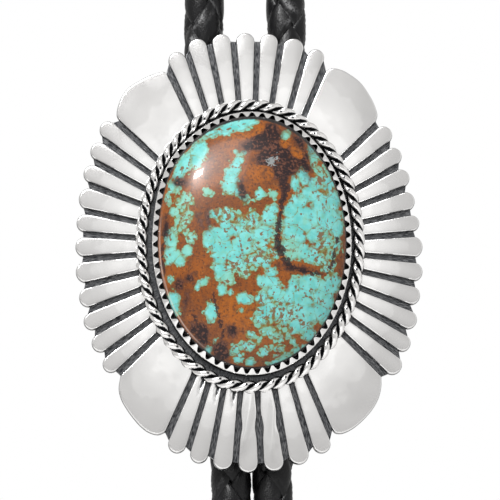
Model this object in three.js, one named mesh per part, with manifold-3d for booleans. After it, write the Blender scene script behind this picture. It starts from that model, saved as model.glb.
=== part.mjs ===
// A bolo tie: a silver slide set with an oval turquoise, worn on a braided leather cord with silver tips.
// Millimetres, +Z up. The slide faces -Y, and the origin lies under the cord at the nape of the neck.
// The silver setting is modelled flat, its outline in X and Y and its front towards +Z, then stood up.
import * as THREE from "three";
import { mergeVertices } from "three/addons/utils/BufferGeometryUtils.js";
import Module from "manifold-3d";

const wasm = await Module();
wasm.setup();

// Seats and fits
const SEAT_GAP = 0.3; // between pieces that rest on each other
const FUSE = 0.2; // how far soldered parts sink into each other

// Stone
const STONE_WIDTH = 30.4;
const STONE_LENGTH = 40.6;
const STONE_HEIGHT = 7.7;
const STONE_SEGMENTS = 48;
// The stone's side, from its base to the top of its dome, as shares of its half width and its height.
const STONE_PROFILE = [
  { across: 1, up: 0 },
  { across: 1, up: 0.3 },
  { across: 0.975, up: 0.42 },
  { across: 0.9, up: 0.6 },
  { across: 0.76, up: 0.79 },
  { across: 0.55, up: 0.92 },
  { across: 0.29, up: 0.985 },
];

// Bezel, the serrated silver wall that holds the stone
const BEZEL_WALL = 0.4;
const BEZEL_HEIGHT = 2.7; // from the plate to the valleys between the teeth
const TOOTH_COUNT = 67;
const TOOTH_HEIGHT = 1;
const TOOTH_LEAN = 0.5; // how far a tooth's tip leans in over the stone
const TOOTH_TIP = 0.3; // thickness at the tip

// Twisted wire round the bezel
const WIRE_CHANNEL = 0.6; // the space between the bezel and the twisted wire
const WIRE_DIAMETER = 2; // over both strands
const WIRE_TURNS = 29;
const WIRE_STEPS_A_TURN = 6;
const WIRE_SIDES = 8;
const STRAND_SHARE = 0.52; // a strand's radius, as a share of half the wire's diameter

// Fluted plate
const PLATE_THICKNESS = 1; // at the floor of the grooves
const SIDE_FLUTE_LENGTH = 10.4; // from the twisted wire's middle to the tips at the sides
const END_FLUTE_LENGTH = 12.7; // the same at the top and bottom
const OUTLINE_SHIFT = { x: -0.24, y: -0.93 }; // the outline's oval against the stone's, as hand filed
const OUTLINE_SKEW = 0.014; // how far the outline leans out of its oval
const OUTLINE_SKEW_TOWARDS = 130; // degrees clockwise from the top
const GROOVE_WIDTH = 1.05;
const NOTCH_DEPTH = 1.25; // from the flutes' tips in to the grooves' ends
const PAD_EDGE = 0.55; // height of a flute's edge over the groove's floor
const PAD_CROWN = 0.35; // its middle over its edge
const PAD_INSET = 0.15; // the ledge of plate left round a flute's tip
const FLUTE_ARC_POINTS = 5;
const LOBE_ARC_POINTS = 11;
// Rows of flutes between the four lobes, in degrees clockwise from the top.
const FLUTE_ROWS = [
  { side: "top", from: -25, to: 22.3, flutes: 7 },
  { side: "right", from: 46.2, to: 133.6, flutes: 11 },
  { side: "bottom", from: 157, to: 203.5, flutes: 7 },
  { side: "left", from: 226, to: 312.5, flutes: 11 },
];

// Leather cord
const CORD_DIAMETER = 6.35;
const CORD_SIDES = 12;
const CORD_STEP = 13; // the most that one straight step of the tube covers
const CORD_SPACING = 13.2; // between the cord's two runs in the clip
const STRAND_SHIFT = -0.8; // how far the runs above the slide stand to its left

// Clip on the slide's back, with a sleeve for each run of the cord
const CLIP_WIDTH = 25;
const CLIP_THICKNESS = 1;
const CLIP_HEIGHT = 24;
const SLEEVE_LENGTH = 20;
const SLEEVE_WALL = 0.8;
const SLEEVE_SEGMENTS = 24;

// Silver tips on the cord's ends
const TIP_LENGTH = 38;
const TIP_SOCKET = 14; // how deep the cord goes in
const TIP_WALL = 0.65;
const TIP_COLLAR = 3; // length of the straight collar at the mouth
const TIP_END_DIAMETER = 4.2;
const TIP_NECK_DIAMETER = 3;
const TIP_SPACE = 1; // between the two tips as they hang
const TIP_SEGMENTS = 20;

const cordRadius = CORD_DIAMETER / 2;
const boreRadius = cordRadius + SEAT_GAP;
const tipMouthRadius = boreRadius + TIP_WALL;
const cordBehindPlate = SEAT_GAP + CLIP_THICKNESS + boreRadius;
const runOffset = CORD_SPACING / 2;
const tailOffset = tipMouthRadius + TIP_SPACE / 2;

// The cord's routes, from the slide's middle: x sideways, y back towards the neck, z up. The right-hand side is
// given; the left-hand side mirrors it, apart from shift, the share of STRAND_SHIFT that both sides take.
const HALF_LOOP = [
  { x: runOffset, y: 0, z: SEAT_GAP / 2, shift: 0 },
  { x: runOffset, y: 0, z: 11, shift: 0 },
  { x: 6.6, y: 0, z: 20, shift: 0.5 },
  { x: 6.6, y: 0, z: 30, shift: 1 },
  { x: 6.6, y: 0, z: 42, shift: 1 },
  { x: 7.4, y: 0.7, z: 52, shift: 1 },
  { x: 11, y: 3.2, z: 61, shift: 0.7 },
  { x: 18.5, y: 8.8, z: 68.5, shift: 0.4 },
  { x: 29, y: 19, z: 75, shift: 0.2 },
  { x: 39.5, y: 34, z: 81.5, shift: 0 },
  { x: 47.5, y: 53, z: 88.5, shift: 0 },
  { x: 50, y: 73, z: 95, shift: 0 },
  { x: 46.5, y: 93, z: 100.5, shift: 0 },
  { x: 36, y: 109.5, z: 104.5, shift: 0 },
  { x: 19.5, y: 120, z: 107.2, shift: 0 },
];
const NAPE = { x: 0, y: 123.5, z: 108, shift: 0 };
const TAIL = [
  { x: runOffset, y: 0, z: -SEAT_GAP / 2, shift: 0 },
  { x: runOffset, y: 0, z: -11, shift: 0 },
  { x: 5.3, y: 0, z: -21, shift: 0 },
  { x: 3.9, y: 0, z: -29, shift: 0 },
  { x: 3.34, y: 0, z: -37, shift: 0 },
  { x: 3.4, y: 0, z: -46, shift: 0 },
  { x: 3.6, y: 0.2, z: -64, shift: 0 },
  { x: 3.9, y: 0.8, z: -88, shift: 0 },
  { x: 4.2, y: 1.5, z: -114, shift: 0 },
  { x: 4.4, y: 2, z: -140, shift: 0 },
  { x: 4.5, y: 2.2, z: -166, shift: 0 },
  { x: 4.6, y: 2, z: -190, shift: 0 },
  { x: tailOffset, y: 1.8, z: -212, shift: 0 },
  { x: tailOffset, y: 1.8, z: -223.5, shift: 0 },
];

const slidePlace = new THREE.Vector3(0, -NAPE.y, cordRadius - NAPE.z);

// Closed meshes and solids

const FLAT = 1e-4; // points nearer than this are one

function meshGeometry(points, triangles) {
  const geometry = new THREE.BufferGeometry();
  geometry.setAttribute("position", new THREE.Float32BufferAttribute(points.flat(), 3));
  geometry.setIndex(triangles.flat());
  return geometry;
}

function toSolid(geometry) {
  const bare = geometry.clone();
  bare.deleteAttribute("normal");
  bare.deleteAttribute("uv");
  const merged = mergeVertices(bare, FLAT);
  return new wasm.Manifold(
    new wasm.Mesh({
      numProp: 3,
      vertProperties: new Float32Array(merged.attributes.position.array),
      triVerts: new Uint32Array(merged.index.array),
    }),
  );
}

function toGeometry(solid) {
  const mesh = solid.getMesh();
  const geometry = new THREE.BufferGeometry();
  geometry.setAttribute("position", new THREE.BufferAttribute(mesh.vertProperties, 3));
  geometry.setIndex(new THREE.BufferAttribute(mesh.triVerts, 1));
  geometry.computeVertexNormals();
  return geometry;
}

function fuse(solids) {
  return solids.reduce((whole, solid) => whole.add(solid));
}

// A ring made of one closed section at each station round it. The stations run anticlockwise seen from the
// front, and each section runs from its foot up its outer side.
function ringLoft(sections) {
  const sides = sections[0].length;
  const triangles = [];
  sections.forEach((_, station) => {
    const here = station * sides;
    const next = ((station + 1) % sections.length) * sides;
    for (let side = 0; side < sides; side += 1) {
      const other = (side + 1) % sides;
      triangles.push([here + side, next + side, next + other], [here + side, next + other, here + other]);
    }
  });
  return meshGeometry(sections.flat(), triangles);
}

// Ovals and directions in the setting's plane, with angles in degrees clockwise from the top

function towards(angle) {
  const turn = THREE.MathUtils.degToRad(angle);
  return new THREE.Vector2(Math.sin(turn), Math.cos(turn));
}

function ovalReach(halfWidth, halfLength, angle) {
  const direction = towards(angle);
  return 1 / Math.hypot(direction.x / halfWidth, direction.y / halfLength);
}

// An oval some distance outside the stone's own outline.
function stoneOval(outside) {
  return { halfWidth: STONE_WIDTH / 2 + outside, halfLength: STONE_LENGTH / 2 + outside };
}

const bezelOutside = SEAT_GAP + BEZEL_WALL;
const wireOval = stoneOval(bezelOutside + WIRE_CHANNEL + WIRE_DIAMETER / 2);

function wireReach(angle) {
  return ovalReach(wireOval.halfWidth, wireOval.halfLength, angle);
}

// How far the flutes' tips reach from the middle of the setting.
function outlineReach(angle) {
  const direction = towards(angle);
  const halfWidth = wireOval.halfWidth + SIDE_FLUTE_LENGTH;
  const halfLength = wireOval.halfLength + END_FLUTE_LENGTH;
  const ray = { x: direction.x / halfWidth, y: direction.y / halfLength };
  const shift = { x: -OUTLINE_SHIFT.x / halfWidth, y: -OUTLINE_SHIFT.y / halfLength };
  const a = ray.x ** 2 + ray.y ** 2;
  const b = ray.x * shift.x + ray.y * shift.y;
  const c = shift.x ** 2 + shift.y ** 2 - 1;
  const oval = (-b + Math.sqrt(b * b - a * c)) / a;
  const lean = Math.cos(THREE.MathUtils.degToRad(2 * (angle - OUTLINE_SKEW_TOWARDS)));
  return oval * (1 + OUTLINE_SKEW * (0.4 + lean));
}

// Flutes and lobes

// Each flute and lobe lies between two grooves: {from, to} are the grooves' angles.
function fluteSpans() {
  const spans = [];
  FLUTE_ROWS.forEach((row, index) => {
    const step = (row.to - row.from) / row.flutes;
    for (let flute = 0; flute < row.flutes; flute += 1) {
      spans.push({ from: row.from + flute * step, to: row.from + (flute + 1) * step, arcPoints: FLUTE_ARC_POINTS });
    }
    const isLast = index === FLUTE_ROWS.length - 1;
    const lobeEnd = isLast ? FLUTE_ROWS[0].from + 360 : FLUTE_ROWS[index + 1].from;
    spans.push({ from: row.to, to: lobeEnd, arcPoints: LOBE_ARC_POINTS });
  });
  return spans;
}

// A point beside a groove: so far out along it, and so far to its clockwise side.
function besideGroove(angle, out, aside) {
  const along = towards(angle);
  return new THREE.Vector2(along.x * out + along.y * aside, along.y * out - along.x * aside);
}

// The round end of a flute or lobe: points on the arc from its first shoulder over its tip to its last.
function endArc(span, inset) {
  const aside = GROOVE_WIDTH / 2 + inset;
  const middle = (span.from + span.to) / 2;
  const first = besideGroove(span.from, outlineReach(span.from) - NOTCH_DEPTH - inset, aside);
  const last = besideGroove(span.to, outlineReach(span.to) - NOTCH_DEPTH - inset, -aside);
  const tip = towards(middle).multiplyScalar(outlineReach(middle) - inset);
  const chord = last.clone().sub(first);
  const halfChord = chord.length() / 2;
  const foot = first.clone().add(last).multiplyScalar(0.5);
  const outward = new THREE.Vector2(-chord.y, chord.x).normalize();
  const bulge = tip.clone().sub(foot).dot(outward);
  const radius = (halfChord ** 2 + bulge ** 2) / (2 * bulge);
  const centre = foot.clone().addScaledVector(outward, bulge - radius);
  const half = bulge > radius ? Math.PI - Math.asin(halfChord / radius) : Math.asin(halfChord / radius);
  const points = [];
  for (let step = 0; step < span.arcPoints; step += 1) {
    const turn = half * ((2 * step) / (span.arcPoints - 1) - 1);
    const sideways = chord.clone().normalize().multiplyScalar(Math.sin(turn) * radius);
    points.push(centre.clone().add(sideways).addScaledVector(outward, Math.cos(turn) * radius));
  }
  return points;
}

// The raised, crowned pad of one flute or lobe, from under the twisted wire out to its tip.
function padSolid(span) {
  const inner = (angle, aside) => besideGroove(angle, wireReach(angle), aside);
  const clockwise = [
    inner(span.from, GROOVE_WIDTH / 2),
    ...endArc(span, PAD_INSET),
    inner(span.to, -GROOVE_WIDTH / 2),
  ];
  const outline = clockwise.reverse();
  const middle = (span.from + span.to) / 2;
  const shoulder = outlineReach(middle) - NOTCH_DEPTH - PAD_INSET;
  const crown = [towards(middle).multiplyScalar(wireReach(middle)), towards(middle).multiplyScalar(shoulder)];
  const floor = PLATE_THICKNESS - FUSE;
  const edge = PLATE_THICKNESS + PAD_EDGE;
  const count = outline.length;
  const points = [
    ...outline.map((p) => [p.x, p.y, floor]),
    ...outline.map((p) => [p.x, p.y, edge]),
    ...crown.map((p) => [p.x, p.y, edge + PAD_CROWN]),
  ];
  const crownOf = (index) => 2 * count + (index === 0 || index === count - 1 ? 0 : 1);
  const triangles = THREE.ShapeUtils.triangulateShape(outline, []).map(([a, b, c]) => [a, c, b]);
  for (let index = 0; index < count; index += 1) {
    const next = (index + 1) % count;
    triangles.push([index, next, count + next], [index, count + next, count + index]);
    triangles.push([count + index, count + next, crownOf(next)]);
    if (crownOf(index) !== crownOf(next)) {
      triangles.push([count + index, crownOf(next), crownOf(index)]);
    }
  }
  return toSolid(meshGeometry(points, triangles));
}

// The flat sheet under the flutes, cut to the scalloped outline.
function plateSolid(spans) {
  const outline = spans.flatMap((span) => endArc(span, 0));
  const sheet = new THREE.ExtrudeGeometry(new THREE.Shape(outline), { depth: PLATE_THICKNESS, bevelEnabled: false });
  return toSolid(sheet);
}

// Two strands twisted into one wire and bent round the bezel.
function wireSolid() {
  const path = new THREE.EllipseCurve(0, 0, wireOval.halfWidth, wireOval.halfLength);
  path.arcLengthDivisions = 800;
  const stations = WIRE_TURNS * WIRE_STEPS_A_TURN;
  const half = WIRE_DIAMETER / 2;
  const strand = half * STRAND_SHARE;
  const apart = half - strand;
  const middleHeight = PLATE_THICKNESS + PAD_EDGE + half - FUSE;
  const sections = [];
  for (let station = 0; station < stations; station += 1) {
    const at = path.getPointAt(station / stations);
    const along = path.getTangentAt(station / stations);
    const twist = (station / WIRE_STEPS_A_TURN) * 2 * Math.PI;
    const section = [];
    for (let side = 0; side < WIRE_SIDES; side += 1) {
      const turn = (side / WIRE_SIDES) * 2 * Math.PI;
      const reach = apart * Math.abs(Math.cos(turn)) + Math.sqrt(strand ** 2 - (apart * Math.sin(turn)) ** 2);
      const outwards = Math.cos(turn + twist) * reach;
      const upwards = Math.sin(turn + twist) * reach;
      section.push([at.x + along.y * outwards, at.y - along.x * outwards, middleHeight + upwards]);
    }
    sections.push(section);
  }
  return toSolid(ringLoft(sections));
}

// The wall round the stone. Its top is cut into teeth that lean in over the stone.
function bezelSolid() {
  const wallFoot = PLATE_THICKNESS - FUSE;
  const valley = PLATE_THICKNESS + BEZEL_HEIGHT;
  const knee = valley - FUSE;
  const tip = valley + TOOTH_HEIGHT;
  const outside = stoneOval(bezelOutside);
  const path = new THREE.EllipseCurve(0, 0, outside.halfWidth, outside.halfLength);
  path.arcLengthDivisions = 800;
  const stations = 2 * TOOTH_COUNT;
  const sections = [];
  for (let station = 0; station < stations; station += 1) {
    const at = path.getPointAt(station / stations);
    const along = path.getTangentAt(station / stations);
    const isTip = station % 2 === 1;
    const top = isTip
      ? [
          { inwards: TOOTH_LEAN, height: tip },
          { inwards: TOOTH_LEAN + TOOTH_TIP, height: tip },
        ]
      : [
          { inwards: 0, height: valley },
          { inwards: BEZEL_WALL, height: valley },
        ];
    const section = [
      { inwards: 0, height: wallFoot },
      { inwards: 0, height: knee },
      ...top,
      { inwards: BEZEL_WALL, height: wallFoot },
    ];
    sections.push(
      section.map(({ inwards, height }) => [at.x - along.y * inwards, at.y + along.x * inwards, height]),
    );
  }
  return toSolid(ringLoft(sections));
}

function settingGeometry() {
  const spans = fluteSpans();
  return toGeometry(fuse([plateSolid(spans), ...spans.map(padSolid), wireSolid(), bezelSolid()]));
}

// Stone

function stoneGeometry() {
  const profile = [
    new THREE.Vector2(0, 0),
    ...STONE_PROFILE.map(({ across, up }) => new THREE.Vector2(across, up * STONE_HEIGHT)),
    new THREE.Vector2(0, STONE_HEIGHT),
  ];
  const dome = new THREE.LatheGeometry(profile, STONE_SEGMENTS);
  dome.rotateX(Math.PI / 2);
  dome.scale(STONE_WIDTH / 2, STONE_LENGTH / 2, 1);
  return dome;
}

// Clip

// A round bar through the clip, along the cord.
function clipBar(radius, length, side) {
  const bar = new THREE.CylinderGeometry(radius, radius, length, SLEEVE_SEGMENTS);
  bar.translate(side * runOffset, 0, -cordBehindPlate);
  return toSolid(bar);
}

function clipGeometry() {
  const base = new THREE.BoxGeometry(CLIP_WIDTH, CLIP_HEIGHT, CLIP_THICKNESS);
  base.translate(0, 0, -SEAT_GAP - CLIP_THICKNESS / 2);
  const sleeves = [-1, 1].map((side) => clipBar(boreRadius + SLEEVE_WALL, SLEEVE_LENGTH, side));
  const bores = [-1, 1].map((side) => clipBar(boreRadius, 2 * CLIP_HEIGHT, side));
  const front = new THREE.BoxGeometry(2 * CLIP_WIDTH, 2 * CLIP_HEIGHT, 2 * CLIP_THICKNESS);
  front.translate(0, 0, -SEAT_GAP + CLIP_THICKNESS);
  const solid = fuse([toSolid(base), ...sleeves]).subtract(fuse(bores)).subtract(toSolid(front));
  return toGeometry(solid);
}

// Cord

function routePoint({ x, y, z, shift }, side) {
  return new THREE.Vector3(side * x + shift * STRAND_SHIFT, y, z).add(slidePlace);
}

function cordGeometry(points) {
  const path = new THREE.CatmullRomCurve3(points, false, "centripetal");
  const section = new THREE.Shape();
  for (let side = 0; side < CORD_SIDES; side += 1) {
    const turn = (side / CORD_SIDES) * 2 * Math.PI;
    const corner = [Math.cos(turn) * cordRadius, Math.sin(turn) * cordRadius];
    if (side === 0) {
      section.moveTo(...corner);
    } else {
      section.lineTo(...corner);
    }
  }
  const steps = Math.ceil(path.getLength() / CORD_STEP);
  return new THREE.ExtrudeGeometry(section, { steps, extrudePath: path, bevelEnabled: false });
}

function loopPoints() {
  const left = HALF_LOOP.map((row) => routePoint(row, -1));
  const right = HALF_LOOP.map((row) => routePoint(row, 1));
  return [...left, routePoint(NAPE, 1), ...right.reverse()];
}

function tailPoints(side) {
  return TAIL.map((row) => routePoint(row, side));
}

// Tips

// A tapered silver tip, its mouth at height 0 and its end below.
function tipGeometry() {
  const socketFoot = -TIP_SOCKET - SEAT_GAP;
  const neck = -TIP_LENGTH + TIP_END_DIAMETER;
  const ball = TIP_END_DIAMETER / 2;
  const profile = [
    [0, -TIP_LENGTH],
    [ball * 0.7, -TIP_LENGTH + ball * 0.3],
    [ball, -TIP_LENGTH + ball],
    [TIP_NECK_DIAMETER / 2, neck],
    [tipMouthRadius, -TIP_COLLAR],
    [tipMouthRadius, 0],
    [boreRadius, 0],
    [boreRadius, socketFoot],
    [0, socketFoot],
  ].map(([across, up]) => new THREE.Vector2(across, up));
  const tip = new THREE.LatheGeometry(profile, TIP_SEGMENTS);
  tip.rotateX(Math.PI / 2);
  return tip;
}

// Assembly

const silver = { color: 0xe4e1dd, roughness: 0.16, metalness: 1 };
const materials = {
  setting: new THREE.MeshStandardMaterial(silver),
  stone: new THREE.MeshStandardMaterial({ color: 0x6fc4b4, roughness: 0.22, metalness: 0 }),
  clip: new THREE.MeshStandardMaterial({ color: 0xb9b7b4, roughness: 0.35, metalness: 1 }),
  cord: new THREE.MeshStandardMaterial({ color: 0x1c1d1f, roughness: 0.42, metalness: 0 }),
  tip: new THREE.MeshStandardMaterial(silver),
};

function namedMesh(name, geometry, material) {
  const mesh = new THREE.Mesh(geometry, material);
  mesh.name = name;
  return mesh;
}

const slide = new THREE.Group();
slide.position.copy(slidePlace);
slide.position.y -= cordBehindPlate;
slide.rotation.x = Math.PI / 2;
const stone = namedMesh("stone", stoneGeometry(), materials.stone);
stone.position.z = PLATE_THICKNESS + SEAT_GAP;
slide.add(namedMesh("setting", settingGeometry(), materials.setting));
slide.add(stone);
slide.add(namedMesh("bolo_clip", clipGeometry(), materials.clip));

const tie = new THREE.Group();
tie.add(slide);
tie.add(namedMesh("neck_loop", cordGeometry(loopPoints()), materials.cord));
for (const [word, side] of [
  ["left", -1],
  ["right", 1],
]) {
  const points = tailPoints(side);
  tie.add(namedMesh(`${word}_tail`, cordGeometry(points), materials.cord));
  const tip = namedMesh(`${word}_tip`, tipGeometry(), materials.tip);
  tip.position.copy(points[points.length - 1]);
  tip.position.z += TIP_SOCKET;
  tie.add(tip);
}

export default tie;
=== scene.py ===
import math
from contextlib import contextmanager

import bpy
import numpy as np
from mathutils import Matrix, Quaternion, Vector, noise


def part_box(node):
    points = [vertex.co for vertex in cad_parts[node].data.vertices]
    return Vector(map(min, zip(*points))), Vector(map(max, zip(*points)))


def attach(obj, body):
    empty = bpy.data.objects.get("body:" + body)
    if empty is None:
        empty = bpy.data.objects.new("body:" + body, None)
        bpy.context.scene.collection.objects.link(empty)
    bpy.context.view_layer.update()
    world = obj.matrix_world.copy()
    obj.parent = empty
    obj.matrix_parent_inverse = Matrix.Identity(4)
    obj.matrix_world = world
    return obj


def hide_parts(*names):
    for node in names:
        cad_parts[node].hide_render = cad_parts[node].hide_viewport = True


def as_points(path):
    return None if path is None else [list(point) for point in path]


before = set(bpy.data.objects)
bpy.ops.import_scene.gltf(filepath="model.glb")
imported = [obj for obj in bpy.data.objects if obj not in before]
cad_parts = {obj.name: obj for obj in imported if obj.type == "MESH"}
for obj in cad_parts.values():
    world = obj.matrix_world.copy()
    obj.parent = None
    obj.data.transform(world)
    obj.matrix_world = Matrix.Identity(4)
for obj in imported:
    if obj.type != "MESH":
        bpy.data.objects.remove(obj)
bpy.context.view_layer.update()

# A bolo tie: a fluted silver slide with an oval turquoise, on a braided black leather cord with silver tips.
# Metres, +Z up, and the slide faces -Y. A clock angle is in degrees, clockwise from the top of the slide.

MM = 0.001
DOUBLES = 0.002 * MM  # points closer than this are one

# The photograph
PIXEL = 0.161 * MM  # at the slide
PHOTO_SIDE = 500  # pixels
PHOTO_MIDDLE = (250.5, 246)  # the pixel that the slide's middle is seen at
CAMERA_DISTANCE = 0.5
CAMERA_ELEVATION = -8  # degrees, so from slightly below
CAMERA_AZIMUTH = -2.5

# The slide's own plane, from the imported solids
stone_low, stone_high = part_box("stone")
PLATE_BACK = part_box("setting")[1].y
SLIDE_X = (stone_low.x + stone_high.x) / 2
SLIDE_Z = (stone_low.z + stone_high.z) / 2

# Cord
CORD_DIAMETER = 6.35 * MM
CORD_SPACING = 13.2 * MM
UPPER_SHIFTS = {-1: -0.8 * MM, 1: -0.4 * MM}  # of the strands above the slide, left and right, sideways
LOWER_SHIFT = 0.5 * MM
THONGS = 6  # three each way round
CROSSING_LENGTH = 4 * MM  # of cord, from one row of crossings to the next
THONG_THICKNESS = 1.1 * MM
THONG_COVER = 0.95  # the share of the cord's surface that the thongs of one hand would cover
THONG_LIFT = 0.28 * MM  # how far a thong rises over and dips under the others
THONG_SPREAD = 0.14 * MM  # how far their tops stand out of the nominal diameter
STATIONS_A_CROSSING = 5
THONG_POINTS = 11  # across its top
SHEEN_PLACE, SHEEN_WIDTH = 0.5, 0.13  # of the pale streak on each thong, a painted highlight with some wear, as shares of a thong's half width
EDGE_SHEEN_AND_WEAR = 0.45  # how pale the thongs' edges are painted beside the streak, part wear and part painted highlight
# Where corners of the plait show in the photograph: along the cord from its start in the slide, and the way
# they face, in degrees to the viewer's right.
UPPER_LEFT_CORNER = (37.05 * MM, -49)
UPPER_RIGHT_CORNER = (37.1 * MM, 21.5)
LOWER_LEFT_CORNER = (37.85 * MM, -4)
LOWER_RIGHT_CORNER = (40.15 * MM, 31)
NECK_SHEEN_AND_WEAR, TAIL_SHEEN_AND_WEAR = 1, 0.1  # how strongly the pale streak and edges, a painted highlight with some wear, show on the thongs' tops

# Tips
TIP_LENGTH = 38 * MM
TIP_SOCKET = 14 * MM
TIP_WALL = 0.65 * MM
TIP_STEPS = 48  # round it

# Stone
STONE_INSET = 0.7 * MM  # from the bezel's outside to the stone's
STONE_BASE = PLATE_BACK - stone_high.y  # its height over the plate's back
STONE_HEIGHT = stone_high.y - stone_low.y
STONE_SIDE = 0.3  # the share of its height that is its upright side
STONE_GRID = (180, 220)  # faces across and along it

# Bezel
BEZEL_WALL = 0.4 * MM
BEZEL_VALLEY = 3.7 * MM  # height of the notches between the teeth, over the plate's back
TOOTH_COUNT = 67
STEPS_A_TOOTH = 12
TOOTH_RISE = 0.75 * MM
TOOTH_REACH = 0.98 * MM  # how far a tooth's tip stands in from the bezel's outside
NOTCH_REACH = 0.17 * MM

# Twisted wire
WIRE_DIAMETER = 2 * MM
WIRE_TURNS = 29
WIRE_MIDDLE = 2.35 * MM  # height over the plate's back
STRAND_RADIUS = 0.52 * MM
STRAND_SIDES = 20
STEPS_A_TURN = 36
LAY_REACH = 0.83  # how far from the wire's middle its black lay goes, as a share of the wire's radius; the lay is blackened, with painted shade on its inner side
SPOT_PHASE = 114  # degrees of a strand's turn at which its dark spot, a painted shade, lies
SPOT_REACH = (15, 23)  # degrees along the turn and round the strand

# Fluted plate
PLATE_THICKNESS = 1 * MM
PAD_HEIGHT = 0.9 * MM  # of a flute over the plate
PLATE_EDGE = 0.1 * MM  # width of its bevel
PAD_SINK = 0.2 * MM  # how far a flute goes into the plate
GROOVE_WIDTH = 0.93 * MM
NOTCH_DEPTHS = {"top": 1.35 * MM, "right": 1.12 * MM, "bottom": 1.5 * MM, "left": 1.2 * MM}
# The hand-filed grooves' clock angles. The widest spaces between the rows are the four lobes.
GROOVES = {
    "top": (335, 341.7, 348.4, 355.2, 361.9, 368.5, 375.9, 382.3),
    "right": (46.2, 53.8, 61.5, 69.5, 77.9, 85.5, 94.6, 102.8, 110.9, 118.8, 126, 133.6),
    "bottom": (157, 163.5, 170.5, 177.3, 184, 190.6, 197, 203.5),
    "left": (226, 233, 240.5, 247.9, 256.1, 265, 273.5, 281.4, 290.3, 297.9, 305.4, 312.5),
}


# Small helpers

def on_slide(x, z, height):
    """A point of the slide: x to its right, z up from its middle, and its height over the plate's back."""
    return Vector((SLIDE_X + x, PLATE_BACK - height, SLIDE_Z + z))


def direction_of(azimuth, elevation):
    """The way to a place so many degrees to the right of the front and above level."""
    turn, lift = math.radians(azimuth), math.radians(elevation)
    level = math.cos(lift)
    return Vector((math.sin(turn) * level, -math.cos(turn) * level, math.sin(lift)))


def start_fresh():
    if bpy.context.object and bpy.context.object.mode != "OBJECT":
        bpy.ops.object.mode_set(mode="OBJECT")
    bpy.ops.object.select_all(action="DESELECT")


def added(name):
    """The object that an operator has just added, named."""
    piece = bpy.context.object
    piece.name = name
    piece.data.name = name
    return piece


def linked(name, data):
    """A new object in the scene."""
    thing = bpy.data.objects.new(name, data)
    bpy.context.collection.objects.link(thing)
    return thing


def only(piece):
    start_fresh()
    piece.select_set(True)
    bpy.context.view_layer.objects.active = piece


@contextmanager
def editing(piece, action="SELECT"):
    """Edit mode on one piece, with all or nothing of it selected."""
    only(piece)
    bpy.ops.object.mode_set(mode="EDIT")
    bpy.ops.mesh.select_all(action=action)
    yield
    bpy.ops.object.mode_set(mode="OBJECT")


def smooth(piece, angle=None):
    only(piece)
    if angle is None:
        bpy.ops.object.shade_smooth()
    else:
        bpy.ops.object.shade_smooth_by_angle(angle=math.radians(angle))


def settle(piece):
    """Moves an object's place into its mesh."""
    only(piece)
    bpy.ops.object.transform_apply(location=True, rotation=True, scale=True)


def join(pieces, name):
    start_fresh()
    for piece in pieces:
        piece.select_set(True)
    bpy.context.view_layer.objects.active = pieces[0]
    bpy.ops.object.join()
    return added(name)


def bevelled(piece, width, angle):
    """Softens the edges that are sharper than this many degrees."""
    modifier = piece.modifiers.new("soft edges", "BEVEL")
    modifier.width = width
    modifier.segments = 2
    modifier.limit_method = "ANGLE"
    modifier.angle_limit = math.radians(angle)
    only(piece)
    bpy.ops.object.modifier_apply(modifier=modifier.name)


def outward(piece):
    """Merges doubles and turns all faces out."""
    with editing(piece):
        bpy.ops.mesh.remove_doubles(threshold=DOUBLES)
        bpy.ops.mesh.normals_make_consistent(inside=False)


def pressed_sheet(name, across, along, place):
    """A flat grid pressed to shape: place(s, t) gives each point, with s and t from -1 to 1."""
    start_fresh()
    bpy.ops.mesh.primitive_grid_add(x_subdivisions=across, y_subdivisions=along, size=2)
    sheet = added(name)
    for vertex in sheet.data.vertices:
        vertex.co = place(vertex.co.x, vertex.co.y)
    return sheet


def close_down_to(sheet, y):
    """Extrudes the rim of an open sheet down to the plane y and fills it."""
    with editing(sheet, "DESELECT"):
        bpy.ops.mesh.select_mode(type="EDGE")
        bpy.ops.mesh.select_non_manifold(extend=False)
        bpy.ops.mesh.extrude_edges_move()
    for vertex in sheet.data.vertices:
        if vertex.select:
            vertex.co.y = y
    bpy.ops.object.mode_set(mode="EDIT")
    bpy.ops.mesh.edge_face_add()
    bpy.ops.object.mode_set(mode="OBJECT")


def swept(name, sections, closed_line=False):
    """Skins a row of closed sections, each with the same number of points, into one solid."""
    count, sides = len(sections), len(sections[0])
    faces = []
    for station in range(count if closed_line else count - 1):
        here, there = station * sides, (station + 1) % count * sides
        for side in range(sides):
            other = (side + 1) % sides
            faces.append((here + side, here + other, there + other, there + side))
    if not closed_line:
        faces.append(tuple(reversed(range(sides))))
        faces.append(tuple(range((count - 1) * sides, count * sides)))
    mesh = bpy.data.meshes.new(name)
    mesh.from_pydata([tuple(point) for section in sections for point in section], [], faces)
    piece = linked(name, mesh)
    outward(piece)
    return piece


def smoothstep(low, high, value):
    share = np.clip((np.asarray(value, float) - low) / (high - low), 0, 1)
    return share * share * (3 - 2 * share)


def paint(piece, name, values):
    """Keeps one number for each vertex, for the piece's material to read."""
    layer = piece.data.attributes.new(name, "FLOAT", "POINT")
    layer.data.foreach_set("value", np.asarray(values, np.float32))


def places(piece):
    return np.array([vertex.co for vertex in piece.data.vertices])


# Shader maths

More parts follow.
